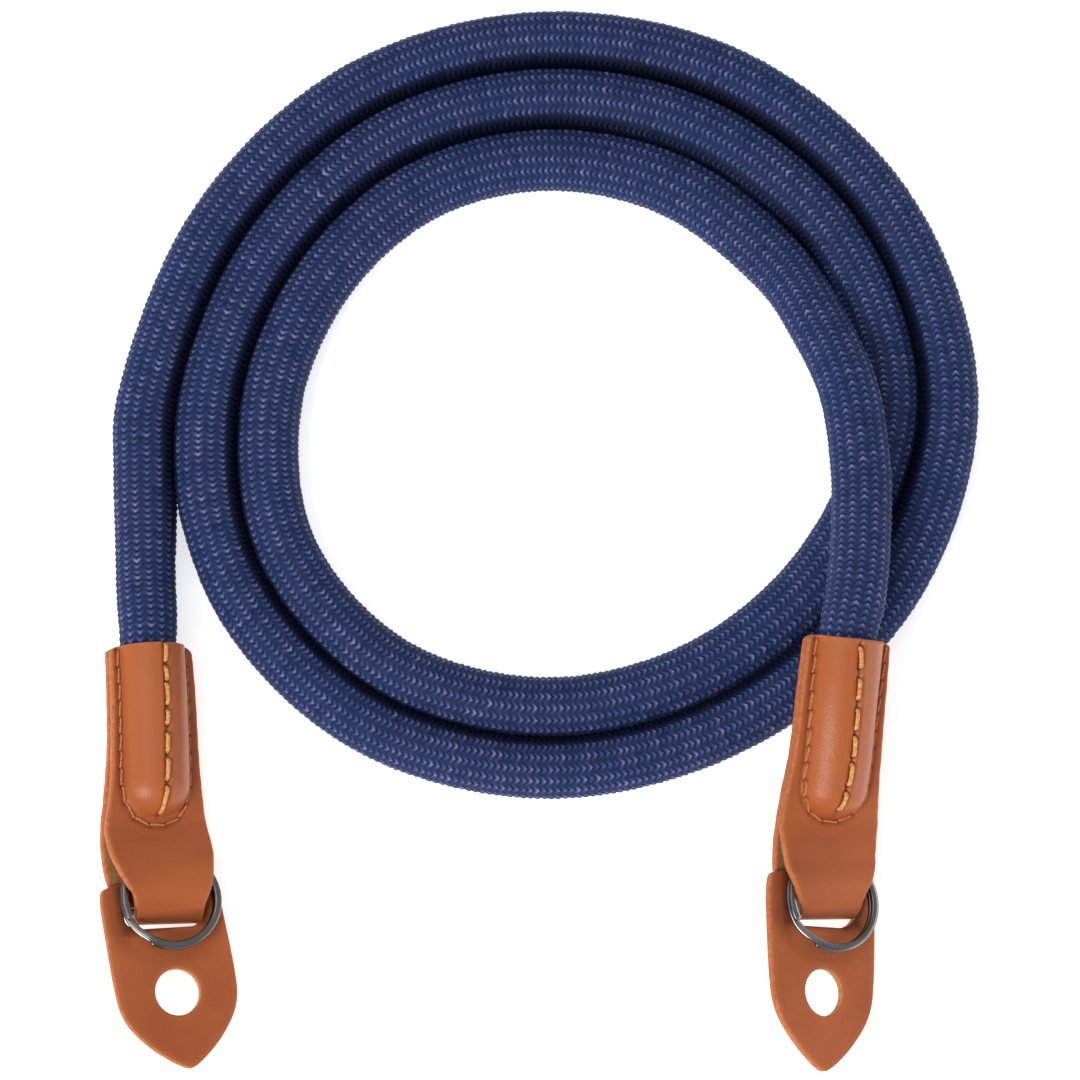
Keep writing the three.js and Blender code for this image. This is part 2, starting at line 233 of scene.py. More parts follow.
def make(name, verts, faces, smooth=True, mats=(), face_mat=None, attrs=None):
    """A mesh object from points in millimetres (before SHIFT) and equal-sided faces."""
    verts = (np.asarray(verts, float) + SHIFT) * MM
    mesh = bpy.data.meshes.new(name)
    if isinstance(faces, np.ndarray):
        groups = [faces]
    else:
        groups = [np.asarray(f, int) for f in faces if len(f)]
    mesh.vertices.add(len(verts))
    mesh.vertices.foreach_set("co", verts.astype(np.float32).ravel())
    loops = np.concatenate([g.ravel() for g in groups]).astype(np.int32)
    totals = np.concatenate([np.full(len(g), g.shape[1]) for g in groups]).astype(np.int32)
    starts = np.concatenate([[0], np.cumsum(totals)[:-1]]).astype(np.int32)
    mesh.loops.add(len(loops))
    mesh.loops.foreach_set("vertex_index", loops)
    mesh.polygons.add(len(totals))
    mesh.polygons.foreach_set("loop_start", starts)
    mesh.polygons.foreach_set("loop_total", totals)
    mesh.polygons.foreach_set("use_smooth", np.full(len(totals), smooth))
    for m in mats:
        mesh.materials.append(m)
    if face_mat is not None:
        mesh.polygons.foreach_set("material_index", np.asarray(face_mat, np.int32))
    mesh.update(calc_edges=True)
    mesh.validate()
    for key, values in (attrs or {}).items():
        a = mesh.attributes.new(key, "FLOAT", "POINT")
        a.data.foreach_set("value", np.asarray(values, np.float32).ravel())
    obj = bpy.data.objects.new(name, mesh)
    bpy.context.scene.collection.objects.link(obj)
    return obj


def grid_faces(rows, cols, closed=True, base=0):
    i = np.arange(rows - 1)[:, None]
    j = np.arange(cols if closed else cols - 1)[None, :]
    a = base + i * cols + j
    b = base + i * cols + (j + 1) % cols
    return np.stack([a, a + cols, b + cols, b], axis=-1).reshape(-1, 4)


def transport(points, first):
    """Tangents and untwisted normals along a line of points."""
    t = unit(np.gradient(points, axis=0))
    n = np.empty_like(points)
    v = first - t[0] * np.dot(first, t[0])
    n[0] = v / np.linalg.norm(v)
    for i in range(len(points) - 1):
        v1 = points[i + 1] - points[i]
        c1 = v1 @ v1
        r_l = n[i] - (2 / c1) * (v1 @ n[i]) * v1
        t_l = t[i] - (2 / c1) * (v1 @ t[i]) * v1
        v2 = t[i + 1] - t_l
        c2 = v2 @ v2
        n[i + 1] = r_l - (2 / c2) * (v2 @ r_l) * v2 if c2 > 1e-18 else r_l
    n = unit(n - t * np.sum(n * t, axis=1, keepdims=True))
    return t, n, np.cross(t, n)


def tone(*rgb):
    """sRGB 0-255 to the linear colour that shaders use."""
    c = [x / 255 for x in rgb]
    return tuple(x / 12.92 if x <= 0.04045 else ((x + 0.055) / 1.055) ** 2.4 for x in c) + (1.0,)


# ---- materials --------------------------------------------------------------------
class Nodes:
    def __init__(self, name):
        self.mat = bpy.data.materials.new(name)
        self.mat.use_nodes = True
        self.tree = self.mat.node_tree
        self.shader = self.tree.nodes["Principled BSDF"]
        self.coord = self.tree.nodes.new("ShaderNodeTexCoord").outputs["Object"]

    def new(self, kind, **settings):
        n = self.tree.nodes.new(kind)
        for key, value in settings.items():
            if key in n.inputs:
                n.inputs[key].default_value = value
            else:
                setattr(n, key, value)
        return n

    def link(self, a, b):
        self.tree.links.new(a, b)

    def noise(self, scale, detail=3.0, rough=0.55, distortion=0.0, stretch=None):
        n = self.new("ShaderNodeTexNoise", Scale=scale, Detail=detail, Roughness=rough, Distortion=distortion)
        if stretch:
            m = self.new("ShaderNodeMapping")
            m.inputs["Scale"].default_value = stretch
            self.link(self.coord, m.inputs["Vector"])
            self.link(m.outputs["Vector"], n.inputs["Vector"])
        else:
            self.link(self.coord, n.inputs["Vector"])
        return n.outputs["Fac"]

    def attr(self, name):
        n = self.new("ShaderNodeAttribute", attribute_name=name)
        return n.outputs["Fac"]

    def ramp(self, fac, stops):
        r = self.new("ShaderNodeValToRGB")
        e = r.color_ramp.elements
        while len(e) < len(stops):
            e.new(0.5)
        for el, (p, c) in zip(e, stops):
            el.position = p
            el.color = c if len(c) == 4 else (*c, 1.0)
        self.link(fac, r.inputs["Fac"])
        return r.outputs["Color"]

    def mix(self, fac, a, b, mode="MIX"):
        m = self.new("ShaderNodeMix", data_type="RGBA", blend_type=mode)
        for sock, val in ((m.inputs[0], fac), (m.inputs[6], a), (m.inputs[7], b)):
            if isinstance(val, bpy.types.NodeSocket):
                self.link(val, sock)
            else:
                sock.default_value = val
        return m.outputs[2]

    def math(self, op, a, b=0.0, clamp=False):
        m = self.new("ShaderNodeMath", operation=op, use_clamp=clamp)
        for sock, val in ((m.inputs[0], a), (m.inputs[1], b)):
            if isinstance(val, bpy.types.NodeSocket):
                self.link(val, sock)
            else:
                sock.default_value = val
        return m.outputs[0]

    def remap(self, fac, a, b, c, d):
        m = self.new("ShaderNodeMapRange")
        for k, v in zip(("From Min", "From Max", "To Min", "To Max"), (a, b, c, d)):
            m.inputs[k].default_value = v
        self.link(fac, m.inputs["Value"])
        return m.outputs["Result"]

    def bump(self, height, strength, distance):
        b = self.new("ShaderNodeBump", Strength=strength, Distance=distance)
        self.link(height, b.inputs["Height"])
        self.link(b.outputs["Normal"], self.shader.inputs["Normal"])

    def set(self, **values):
        for key, value in values.items():
            sock = self.shader.inputs[key.replace("_", " ")]
            if isinstance(value, bpy.types.NodeSocket):
                self.link(value, sock)
            else:
                sock.default_value = value


def rope_material():
    m = Nodes("braided_nylon_navy")
    depth = m.attr("depth")  # 0 in the gaps between strands, 1 on their crests
    shade = m.attr("shade")  # each strand's own tone
    big = m.noise(70, 2, 0.5)
    # the depth ramps paint shade into the gaps between strands and glints onto their crests
    base = m.ramp(
        depth,
        [
            (0.0, tone(7, 11, 29)),
            (0.24, tone(34, 47, 84)),
            (0.6, tone(55, 76, 128)),
            (0.84, tone(77, 101, 155)),
            (1.0, tone(134, 150, 200)),
        ],
    )
    violet = m.ramp(
        depth,
        [
            (0.0, tone(7, 10, 28)),
            (0.24, tone(37, 43, 79)),
            (0.6, tone(65, 73, 120)),
            (0.84, tone(92, 98, 148)),
            (1.0, tone(148, 147, 190)),
        ],
    )
    mottled = m.math("ADD", m.math("MULTIPLY", m.remap(big, 0.35, 0.65, 0.0, 0.7), 0.6), m.math("MULTIPLY", shade, 0.55), clamp=True)
    colour = m.mix(mottled, base, violet)
    fibre = m.noise(5200, 2, 0.6)
    colour = m.mix(m.remap(fibre, 0.3, 0.7, 0.0, 0.28), colour, tone(12, 20, 60))
    crevice_shade = m.attr("crevice_shade")  # painted crevice shade where one turn lies against the next
    # painted shade: near-black navy in the crevices between the turns
    colour = m.mix(m.math("MULTIPLY", crevice_shade, 0.96), colour, tone(2, 4, 24))
    m.set(
        Base_Color=colour,
        Roughness=m.remap(fibre, 0.3, 0.7, 0.5, 0.68),
        Specular_IOR_Level=0.09,
        Sheen_Weight=0.06,
        Sheen_Roughness=0.45,
        Sheen_Tint=tone(150, 160, 215),
    )
    m.bump(fibre, 0.35, 0.00012)
    return m.mat


def core_material():
    m = Nodes("rope_core_navy")
    n = m.noise(1500, 2)
    m.set(Base_Color=m.ramp(n, [(0.3, tone(6, 8, 26)), (0.7, tone(14, 20, 50))]), Roughness=0.9)
    m.bump(n, 0.3, 0.0002)
    return m.mat


def leather_material(name, dark, mid, light, rough=0.47, spec=0.38, coat=0.06):
    m = Nodes(name)
    wide = m.noise(55, 3, 0.55)
    fine = m.noise(900, 4, 0.6)
    pores = m.new("ShaderNodeTexVoronoi", Scale=2300.0, feature="SMOOTH_F1", Smoothness=0.35)
    m.link(m.coord, pores.inputs["Vector"])
    cell = pores.outputs["Distance"]
    colour = m.ramp(wide, [(0.3, dark), (0.52, mid), (0.72, light)])
    colour = m.mix(m.remap(fine, 0.35, 0.7, 0.0, 0.22), colour, dark)
    polished = m.attr("polish")  # the tight leather over the rope
    colour = m.mix(m.math("MULTIPLY", polished, 0.7), colour, tone(190, 102, 54))
    painted_highlight = m.attr("painted_highlight")  # painted highlight on rims and edges
    colour = m.mix(m.math("MULTIPLY", painted_highlight, 0.4), colour, tone(208, 122, 72))
    press_and_shade = m.attr("press_and_shade")  # darker pressed stitch lines, and painted shade in the holes, the seam's crease, under the fold and on the pads under the strip and ring
    colour = m.mix(m.math("MULTIPLY", press_and_shade, 0.85, clamp=True), colour, tone(92, 42, 22))
    gloss = m.math("ADD", m.remap(fine, 0.3, 0.7, rough - 0.05, rough + 0.07), m.math("MULTIPLY", polished, -0.1))
    m.set(Base_Color=colour, Roughness=gloss, Specular_IOR_Level=spec, Coat_Weight=coat, Coat_Roughness=0.35)
    height = m.math("ADD", m.math("MULTIPLY", cell, 0.8), m.math("MULTIPLY", fine, 0.7))
    m.bump(height, 0.28, 0.00012)
    return m.mat


def suede_material():
    m = Nodes("suede_back")
    wide = m.noise(160, 3)
    nap = m.noise(3000, 4, 0.75)
    colour = m.mix(m.remap(nap, 0.25, 0.75, 0.0, 0.8), tone(138, 86, 36), tone(226, 162, 92))
    colour = m.mix(m.remap(wide, 0.35, 0.65, 0.0, 0.35), colour, tone(150, 98, 44))
    m.set(Base_Color=colour, Roughness=0.95, Specular_IOR_Level=0.15, Sheen_Weight=0.25, Sheen_Roughness=0.6)
    m.bump(nap, 0.9, 0.0003)
    return m.mat


def edge_material():
    m = Nodes("leather_cut_edge")
    layers = m.noise(1400, 3, 0.6)
    fuzz = m.noise(4200, 3, 0.7)
    colour = m.ramp(layers, [(0.3, tone(176, 96, 52)), (0.6, tone(208, 120, 70)), (0.8, tone(220, 140, 86))])
    colour = m.mix(m.remap(fuzz, 0.35, 0.7, 0.0, 0.25), colour, tone(160, 84, 44))
    m.set(Base_Color=colour, Roughness=0.62, Specular_IOR_Level=0.3)
    m.bump(fuzz, 0.4, 0.00016)
    return m.mat


def raw_edge_material():
    m = Nodes("leather_punched_edge")
    fuzz = m.noise(2600, 4, 0.75)
    colour = m.ramp(fuzz, [(0.25, tone(150, 88, 44)), (0.5, tone(206, 138, 80)), (0.8, tone(232, 184, 128))])
    m.set(Base_Color=colour, Roughness=0.9, Specular_IOR_Level=0.15, Sheen_Weight=0.2)
    m.bump(fuzz, 0.9, 0.0004)
    return m.mat


def thread_material(name, dark, mid, light, rough):
    m = Nodes(name)
    fibre = m.noise(2600, 3, 0.65)
    colour = m.ramp(fibre, [(0.28, dark), (0.52, mid), (0.78, light)])
    deep = m.attr("deep")  # where the thread goes down its hole: painted shade
    colour = m.mix(deep, colour, tone(70, 34, 18))
    m.set(Base_Color=colour, Roughness=rough, Specular_IOR_Level=0.4, Sheen_Weight=0.15, Sheen_Roughness=0.4)
    m.bump(fibre, 0.5, 0.0001)
    return m.mat


def steel_material():
    m = Nodes("gunmetal_steel")
    fine = m.noise(2200, 3, 0.6)
    wide = m.noise(240, 2, 0.5)
    colour = m.ramp(wide, [(0.3, tone(84, 83, 87)), (0.7, tone(106, 104, 107))])
    # painted highlight: lighter down the middle of the wire, on its step and at its ends
    painted_highlight = m.attr("painted_highlight")
    colour = m.mix(m.math("MULTIPLY", painted_highlight, 0.75), colour, tone(184, 181, 180))
    m.set(Base_Color=colour, Metallic=1.0, Roughness=m.remap(fine, 0.3, 0.7, 0.17, 0.25), Specular_IOR_Level=0.5)
    m.bump(fine, 0.05, 0.00005)
    return m.mat


ROPE = rope_material()
CORE = core_material()
GRAIN = leather_material("leather_tan", tone(168, 85, 42), tone(181, 94, 47), tone(190, 101, 52))
SUEDE = suede_material()
EDGE = edge_material()
PUNCHED = raw_edge_material()
GOLD = thread_material("thread_golden", tone(176, 98, 40), tone(236, 166, 92), tone(255, 218, 154), 0.5)
THIN = thread_material("thread_tan", tone(166, 90, 48), tone(214, 134, 84), tone(236, 166, 114), 0.5)
STEEL = steel_material()

# ---- camera ------------------------------------------------------------------------
cam_data = bpy.data.cameras.new("camera")
cam_data.sensor_width = 36.0
cam_data.lens = 36.0 * 0.75 / (1080 * 0.1613 * MM)
cam_data.clip_start = 0.01
cam_data.clip_end = 20.0
cam = bpy.data.objects.new("camera", cam_data)
tilt = math.radians(11.0)
cam.location = (
    SHIFT[0] * MM,
    (SHIFT[1] - 750 * math.sin(tilt)) * MM,
    (SHIFT[2] + 750 * math.cos(tilt) + 4.85) * MM,
)
cam.rotation_euler = (tilt, 0.0, 0.0)
bpy.context.scene.collection.objects.link(cam)
bpy.context.scene.camera = cam
bpy.context.scene.view_settings.view_transform = "Standard"
bpy.context.scene.view_settings.look = "None"

# ---- rope ---------------------------------------------------------------------------


def rope_line():
    pts = [tab_frame("left", a)[0] for a in (20.6, 27, 34, 40.5, 44.2)]
    pts += [np.array(p) for p in LEAD_IN]
    for k in (1, 2, 3):
        for row in TURNS:
            if row[k] is None:
                continue
            a = math.radians(row[0])
            z = COIL[2] + (0.7 if k == 3 and row[0] == 30 else 0.0)
            pts.append(np.array([COIL[0] + row[k] * math.cos(a), COIL[1] + row[k] * math.sin(a), z]))
    pts += [np.array(p) for p in LEAD_OUT]
    pts += [tab_frame("right", a)[0] for a in (44.6, 40.5, 34, 27, 20.6)]
    p = np.array(pts)
    p = np.vstack([2 * p[0] - p[1], p, 2 * p[-1] - p[-2]])
    out = []
    for i in range(1, len(p) - 2):
        p0, p1, p2, p3 = p[i - 1 : i + 3]
        d0, d1, d2 = (math.sqrt(np.linalg.norm(b - a)) for a, b in ((p0, p1), (p1, p2), (p2, p3)))
        t1 = ((p1 - p0) / d0 - (p2 - p0) / (d0 + d1) + (p2 - p1) / d1) * d1
        t2 = ((p2 - p1) / d1 - (p3 - p1) / (d1 + d2) + (p3 - p2) / d2) * d1
        t = np.linspace(0, 1, 60, endpoint=False)[:, None]
        out.append(
            p1
            + t1 * t
            + (-3 * p1 + 3 * p2 - 2 * t1 - t2) * t**2
            + (2 * p1 - 2 * p2 + t1 + t2) * t**3
        )
    out.append(p[-2][None, :])
    return np.vstack(out)


line = rope_line()
run = np.r_[0, np.cumsum(np.linalg.norm(np.diff(line, axis=0), axis=1))]
ROPE_LONG = run[-1]


def on_rope(s):
    return np.stack([np.interp(s, run, line[:, k]) for k in range(3)], axis=-1)


ROPE_R = 4.85
# smoothed stations every quarter of a millimetre carry the frame
stations = np.arange(0, ROPE_LONG, 0.25)
spine = on_rope(stations)
for _ in range(12):
    spine[1:-1] = 0.25 * spine[:-2] + 0.5 * spine[1:-1] + 0.25 * spine[2:]
spine_t, spine_n, spine_b = transport(spine, np.array([0.0, 0.0, 1.0]))


def at_station(table, s):
    return np.stack([np.interp(s, stations, table[:, k]) for k in range(3)], axis=-1)


def side_gap(sign):
    """Distance to the turn beside each station, on one side; nan where none lies there."""
    h = unit(np.cross(spine_t, np.array([0.0, 0.0, 1.0])))
    out = np.full(len(stations), np.nan)
    for i in range(0, len(stations), 8):
        far = np.abs(stations - stations[i]) > 40
        d = spine[far] - spine[i]
        a, w = d @ spine_t[i], sign * (d @ h[i])
        m = (np.abs(a) < 1.0) & (np.abs(d[:, 2]) < 1.2) & (w > 8) & (w < 13)
        if m.any():
            out[i] = w[m].min()
    known = np.arange(0, len(stations), 8)
    v = out[known]
    # the rope is soft: where turns lie beside each other they flatten until they meet
    beside = ~np.isnan(v) & (v <= 11.2)
    half = np.where(beside, np.clip(v / 2 + 0.32, 4.95, 5.75), 4.92)
    for _ in range(6):
        half[1:-1] = 0.25 * half[:-2] + 0.5 * half[1:-1] + 0.25 * half[2:]
    near_by = np.where(np.isnan(v), 0.0, np.clip((11.6 - v) / 1.2, 0, 1))
    for _ in range(3):
        near_by[1:-1] = 0.25 * near_by[:-2] + 0.5 * near_by[1:-1] + 0.25 * near_by[2:]
    return (
        np.interp(stations, stations[known], half),
        np.interp(stations, stations[known], near_by),
        h,
    )


half_right, beside_right, spine_h = side_gap(1.0)
half_left, beside_left, _ = side_gap(-1.0)


def flatten(s, v):
    """Widens a section, as vectors from the rope's line, sideways on each side, and gives how much painted crevice
    shade each point gets.
    """
    h = unit(at_station(spine_h, s))
    w = np.sum(v * h, axis=1)
    right = w > 0
    k = np.where(right, np.interp(s, stations, half_right), np.interp(s, stations, half_left)) / ROPE_R
    beside = np.where(right, np.interp(s, stations, beside_right), np.interp(s, stations, beside_left))
    # the painted crevice shade starts sooner on the side towards the coil's middle, where the shadow lies
    inwards = np.array([COIL[0], COIL[1], 0.0]) - at_station(spine, s) * np.array([1.0, 1.0, 0.0])
    facing = np.sum(h * inwards, axis=1) * np.sign(w) / np.maximum(np.linalg.norm(inwards, axis=1), 1e-9)
    first = 0.64 - 0.16 * facing
    crevice_shading = beside * np.clip((np.abs(w) / ROPE_R - first) / 0.27, 0, 1)
    return v + h * (w * (k - 1))[:, None], crevice_shading


def rope_share(s):
    """The rope is drawn in a little where the tabs hold it."""
    end = np.minimum(s, ROPE_LONG - s)
    f = np.clip((end - 22.0) / 9.0, 0, 1)
    f = f * f * (3 - 2 * f)
    return 0.935 + 0.065 * f


CORE_R = 4.35
core_s = np.linspace(0, ROPE_LONG - 0.25, 340)
ring_a = np.linspace(0, 2 * math.pi, 24, endpoint=False)
c, n, b = at_station(spine, core_s), unit(at_station(spine_n, core_s)), unit(at_station(spine_b, core_s))
core_v = (
    c[:, None, :]
    + (n[:, None, :] * np.cos(ring_a)[None, :, None] + b[:, None, :] * np.sin(ring_a)[None, :, None])
    * (CORE_R * rope_share(core_s))[:, None, None]
).reshape(-1, 3)
core_f = grid_faces(len(core_s), 24)
last = (len(core_s) - 1) * 24
rope_core = make(
    "rope_core",
    core_v,
    [core_f, [list(range(24))], [[last + 23 - k for k in range(24)]]],
    mats=[CORE],
)

# The braid: columns of V-shaped stitches run along the rope. A row of mesh points
# follows the strands, so it zigzags from column to column.
COLUMNS = 16
PITCH = 1.03
PER_V = 6
ROWS_A_PITCH = 4
RISE = 0.56 * PITCH
BRAID = 0.34
SPLICE_AT = np.array([-27.1, 108.3, 4.9])
around = COLUMNS * PER_V
k = np.arange(around)
in_v = (k % PER_V) / (PER_V / 2)  # 0 at the open side, 1 at the point of the V, then back
in_v = np.where(in_v > 1, 2 - in_v, in_v)
phi = 2 * math.pi * k / around
PHI = 2 * math.pi / around
rng = np.random.default_rng(11)
first_s, last_s = 18.0, ROPE_LONG - 18.0
rows = int((last_s - first_s) / (PITCH / ROWS_A_PITCH))
row_s = first_s + np.arange(rows) * (PITCH / ROWS_A_PITCH)
v_row = np.arange(rows) // ROWS_A_PITCH
v_col = k // PER_V
jitter = rng.normal(0, 1, (v_row.max() + 2, COLUMNS))
slip = rng.normal(0, 1, (v_row.max() + 2, COLUMNS))
slip = 0.5 * slip[:-1] + 0.5 * slip[1:]
phase = np.arange(rows) % ROWS_A_PITCH
crest = np.array([0.0, 0.78, 1.0, 0.62])[phase]
# the points of the Vs stand proud with a deep slot between them, and the lines
# where the Vs open lie flat
low = np.interp(in_v, [0, 1 / 3, 2 / 3, 1], [0.3, 0.28, 0.1, 0.0])
high = np.interp(in_v, [0, 1 / 3, 2 / 3, 1], [0.36, 0.5, 0.8, 1.0])
depth = low[None, :] + (high - low)[None, :] * crest[:, None]
J = jitter[v_row[:, None], v_col[None, :]]
# a splice in the cover, on top of the middle turn
splice = SPLICE_AT - SHIFT
at_splice = np.exp(-((row_s - stations[np.argmin(np.linalg.norm(spine - splice, axis=1))]) / 2.6) ** 2)
J = J * (1 + 1.1 * at_splice[:, None])
depth = np.clip(depth + 0.085 * J * crest[:, None], 0, 1.08)
SL = slip[np.minimum(v_row, len(slip) - 1)[:, None], v_col[None, :]]
s = row_s[:, None] - RISE * (in_v[None, :] - 0.5) + 0.07 * SL * in_v[None, :]
s = np.clip(s, 0.3, ROPE_LONG - 0.6)
wave = 0.012 * np.sin(row_s / 9.0)[:, None] + 0.004 * SL * in_v[None, :]
angle = phi[None, :] + wave
flat_s = s.ravel()
c = at_station(spine, flat_s)
n = unit(at_station(spine_n, flat_s))
b = unit(at_station(spine_b, flat_s))
radius = ((ROPE_R - BRAID) + BRAID * depth.ravel()) * rope_share(flat_s)
ang = angle.ravel()
# the flattened section, and the painted crevice shade of each point
bulk, crevice_shade = flatten(flat_s, (n * np.cos(ang)[:, None] + b * np.sin(ang)[:, None]) * radius[:, None])
braid_v = c + bulk
shade = np.clip(0.5 + 0.28 * J, 0, 1).ravel()
braid_v = braid_v.reshape(rows, around, 3)
depth_v = depth.reshape(rows, around)
shade_v = shade.reshape(rows, around)
crevice_shade_v = crevice_shade.reshape(rows, around)
braids = []
cuts = np.linspace(0, rows - 1, 5).astype(int)
for q in range(4):
    a, z = cuts[q], cuts[q + 1] + 1
    o = make(
        "rope_braid_%d" % (q + 1),
        braid_v[a:z].reshape(-1, 3),
        grid_faces(z - a, around),
        mats=[ROPE],
        attrs={"depth": depth_v[a:z], "shade": shade_v[a:z], "crevice_shade": crevice_shade_v[a:z]},
    )
    braids.append(o)

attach(rope_core, "root")
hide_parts("rope")
for o in braids:
    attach(o, "root")
mouth = [float(x) for x in (tab_frame("left", 43.6)[0] + SHIFT) * MM]

# ---- tabs ---------------------------------------------------------------------------
strip_run = np.r_[0, np.cumsum(np.hypot(np.diff(STRIP[:, 0]), np.diff(STRIP[:, 1])))]
STRIP_T = np.column_stack([strip_run, STRIP])
STRIP_LONG = strip_run[-1]


MOUTH = {"left": 43.7, "right": 44.9}
TRIM = {  # the hand-cut sides: along, and how far the left and right sides stand out from the table
    "left": (
        [(0.7, -0.6, 0), (1.6, -0.55, 0), (3.2, -0.45, 0), (5, -0.1, 0), (6.2, 0.0, 0), (7.7, 0.2, 0), (8.8, 0.0, 0)]
        + [(11.1, -0.6, 0), (14.5, -0.7, 0), (18, -0.25, 0), (22, 0, 0)],
        [(0.7, -0.6, 0), (3, -0.45, 0), (7, -0.65, 0), (14, -0.6, 0), (20, -0.3, 0), (28, 0, 0)],
    ),
    "right": (
        [(0.7, -0.5, 0), (1.6, -0.7, 0), (2.6, -1.0, 0), (3.9, -1.25, -0.25), (5.2, -1.1, -0.3), (7.8, -0.75, -0.4)]
        + [(10.4, -0.35, -0.3), (13, -0.3, 0.1), (15.5, -0.4, 0.5), (19, -0.1, 0.35), (24, 0, 0)],
        [(0.7, -0.5, 0), (3, -0.3, 0), (7, 0, 0), (14, 0, 0), (20, 0, 0)],
    ),
}
FOLD_SKEW = {"left": 0.055, "right": 0.02}
FOLD_DROP = {"left": 0.8, "right": 0.1}
CORNER = {"left": (1.1, 0.55), "right": (0.7, 0.9)}
POCKET_SLIM = 0.945  # the leather draws in under the rope, so its sides are steeper


def strip_at(t):
    """along, off, wide and the grain-side normal of the strip at a distance along it."""
    d = 0.05
    a, o, w = (between(STRIP_T, k, 0, t) for k in (1, 2, 3))
    a1, o1 = between(STRIP_T, 1, 0, t + d), between(STRIP_T, 2, 0, t + d)
    a0, o0 = between(STRIP_T, 1, 0, t - d), between(STRIP_T, 2, 0, t - d)
    l = np.hypot(a1 - a0, o1 - o0)
    return a, o, w, (o1 - o0) / l, -(a1 - a0) / l


def fillet(a, b, k):
    return (a + b + np.sqrt((a - b) ** 2 + k * k)) / 2


def pocket(radius, along):
    u = np.clip((POCKET_END - along) / POCKET_CAP, 0, 1)
    return radius * np.sqrt(1 - u * u)


def bulge(u, along, outer):
    radius = pocket(POCKET_OUT if outer else POCKET_IN, along)
    flat = SEAM_GAP + LEATHER if outer else SEAM_GAP
    soft = 0.5 if outer else 0.2
    slim = POCKET_SLIM if outer else 0.98
    rnd = np.sqrt(np.maximum(radius**2 - (u / slim) ** 2, 0))
    return np.where(radius > flat, fillet(flat, rnd, soft) - fillet(flat, 0, soft), 0.0)


# Stitches, as distances above the fold and to the side of the tab's middle.
THICK = {
    "left": [(40.5, 43.3), (37.5, 39.6), (33.6, 36.9), (30.4, 32.6), (25.9, 28.9), (21.6, 24.9), (16.7, 20.6)],
    "right": [(40.3, 43.5), (35.6, 38.5), (31.2, 34.2), (27.1, 30.1), (22.7, 25.9), (18.4, 21.5)],
}


SEAM = {  # above the fold, to the side: the wandering line of the crest seam
    "left": ((16, 20, 25, 30, 35, 40, 44), (-0.25, -0.05, 0.05, 0.2, 0.3, 0.4, 0.5)),
    "right": ((17, 19, 21, 24, 30, 36, 40, 45), (-0.4, -0.25, 0.1, 0.45, 0.55, 0.5, 0.2, 0.0)),
}


def seam_at(side, a):
    return np.interp(a, *SEAM[side])


def thin_line(side):
    """Holes of the thin stitching: a U round the pocket, every 2.75 mm."""
    pts = np.array(
        {
            "left": [(-5.9, 43.3), (-5.9, 34), (-6.0, 27), (-6.1, 22.5), (-5.7, 18.7), (-4.5, 16.4), (-2.5, 15.0), (0, 14.4)]
            + [(2.3, 14.9), (4.2, 16.2), (5.3, 18.5), (5.65, 22), (5.7, 27), (5.75, 34), (5.8, 43.3)],
            "right": [(-5.8, 44.5), (-5.6, 34), (-5.5, 28.5), (-5.5, 24), (-5.35, 20), (-4.3, 17.3), (-2.3, 15.8), (0, 15.3)]
            + [(2.5, 15.8), (4.5, 17.5), (5.5, 20.2), (5.65, 24), (5.75, 29), (6.0, 35.5), (6.15, 44.5)],
        }[side]
    )
    d = np.r_[0, np.cumsum(np.linalg.norm(np.diff(pts, axis=0), axis=1))]
    # smooth the corners of the U
    fine = np.linspace(0, d[-1], 500)
    xy = np.stack([np.interp(fine, d, pts[:, k]) for k in (0, 1)], axis=1)
    for _ in range(260):
        xy[1:-1] = 0.25 * xy[:-2] + 0.5 * xy[1:-1] + 0.25 * xy[2:]
    d = np.r_[0, np.cumsum(np.linalg.norm(np.diff(xy, axis=0), axis=1))]
    n = int(round(d[-1] / 2.75))
    holes = np.stack([np.interp(np.linspace(0.2, d[-1] - 0.2, n + 1), d, xy[:, k]) for k in (0, 1)], axis=1)
    return xy, holes


THIN_LINE = {s: thin_line(s) for s in AXIS}


def near(points, u, a):
    """Distance from each (u, a) to the nearest of the points."""
    best = np.full(u.shape, 1e9)
    for x, y in points:
        best = np.minimum(best, (u - x) ** 2 + (a - y) ** 2)
    return np.sqrt(best)


def pressed(side, u, a, front):
    """How far the leather is pressed in, and how dark it is there: darker along the pressed stitch lines, with painted
    shade in the holes and the seam's crease.
    """
    xy, holes = THIN_LINE[side]
    d = near(xy[::4], u, a)
    deep = 0.17 * np.exp(-((d / 0.42) ** 2))
    dark = 0.35 * np.exp(-((d / 0.3) ** 2))
    h = near(holes, u, a)
    deep = deep + 0.3 * np.exp(-((h / 0.3) ** 2))
    # painted shade in the holes of the thin stitching
    dark = dark + 0.9 * np.exp(-((h / 0.27) ** 2))
    # a little swelling either side of the stitches
    deep = deep - 0.06 * np.exp(-(((d - 1.0) / 0.45) ** 2))
    if front:
        u = u - seam_at(side, a)
        gone = 1 / (1 + np.exp(-(a - 16.6) / 0.35))
        deep = deep + gone * (0.42 * np.exp(-((u / 0.34) ** 2)) - 0.05 * np.exp(-(((np.abs(u) - 0.95) / 0.4) ** 2)))
        # painted shade in the crease of the seam
        dark = dark + gone * 0.5 * np.exp(-((u / 0.24) ** 2))
        ends = [(0.0, t) for pair in THICK[side] for t in pair]
        e = near(ends, u, a)
        deep = deep + 0.45 * np.exp(-((e / 0.42) ** 2))
        # painted shade where the thick stitches go down into their holes
        dark = dark + 0.9 * np.exp(-((e / 0.4) ** 2))
    return deep, np.clip(dark, 0, 1)


